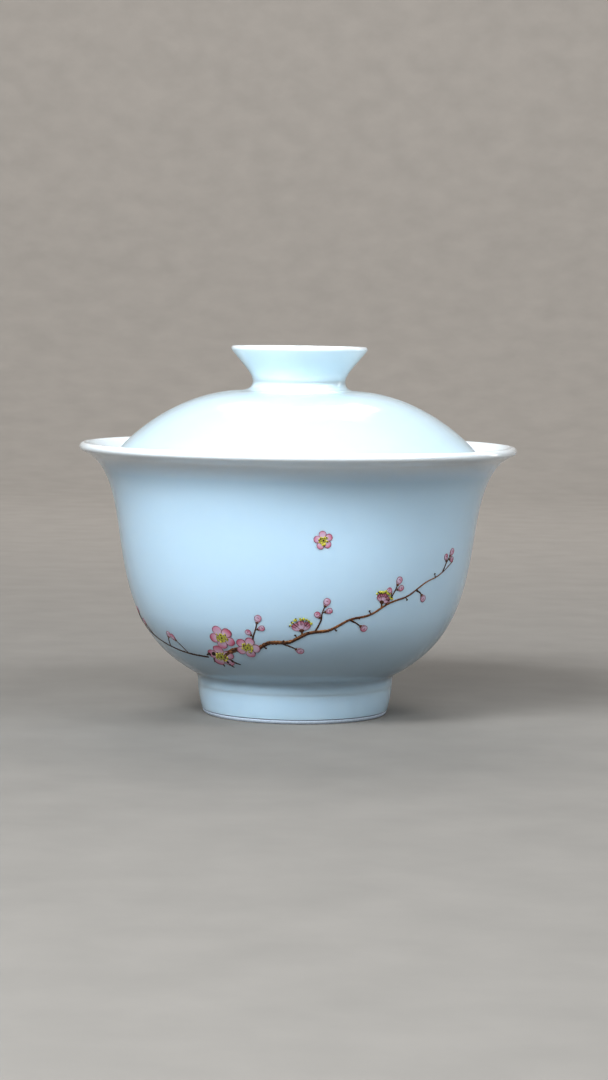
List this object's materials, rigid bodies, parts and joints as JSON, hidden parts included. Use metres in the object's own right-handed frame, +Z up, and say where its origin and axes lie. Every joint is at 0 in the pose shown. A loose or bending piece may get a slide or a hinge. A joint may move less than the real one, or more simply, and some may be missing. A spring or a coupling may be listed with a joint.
{
  "type": "gaiwan",
  "caption": "Lidded porcelain tea bowl: flared bowl on a tall foot ring, and a domed lid with a ring knob that rests inside the rim.",
  "frame": {"origin": "on the vertical axis, at the surface that the foot ring stands on", "axes": "+Z up along the axis of the bowl and lid; the painted side of the bowl faces -Y, with +X to its right"},
  "size_m": [0.098, 0.098, 0.0825],
  "materials": {
    "bowl_glaze": "glossy bluish-white glaze",
    "foot_glaze": "glossy bluish-white glaze",
    "lid_glaze": "glossy bluish-white glaze",
    "knob_glaze": "glossy bluish-white glaze",
    "bare_porcelain": "unglazed, fine and matt",
    "enamel_bark": "brown overglaze enamel",
    "enamel_blossom": "pink overglaze enamel",
    "enamel_stamen": "yellow overglaze enamel"
  },
  "bodies": {
    "bowl": {"bowl_body": "bowl_glaze", "foot_ring": "foot_glaze"},
    "lid": {"lid_dome": "lid_glaze", "lid_knob": "knob_glaze"}
  },
  "joints": [
    {"name": "lid_lift", "type": "slide", "parent": "bowl", "child": "lid", "axis": [0, 0, 1], "range_m": [0, 0.06]}
  ]
}
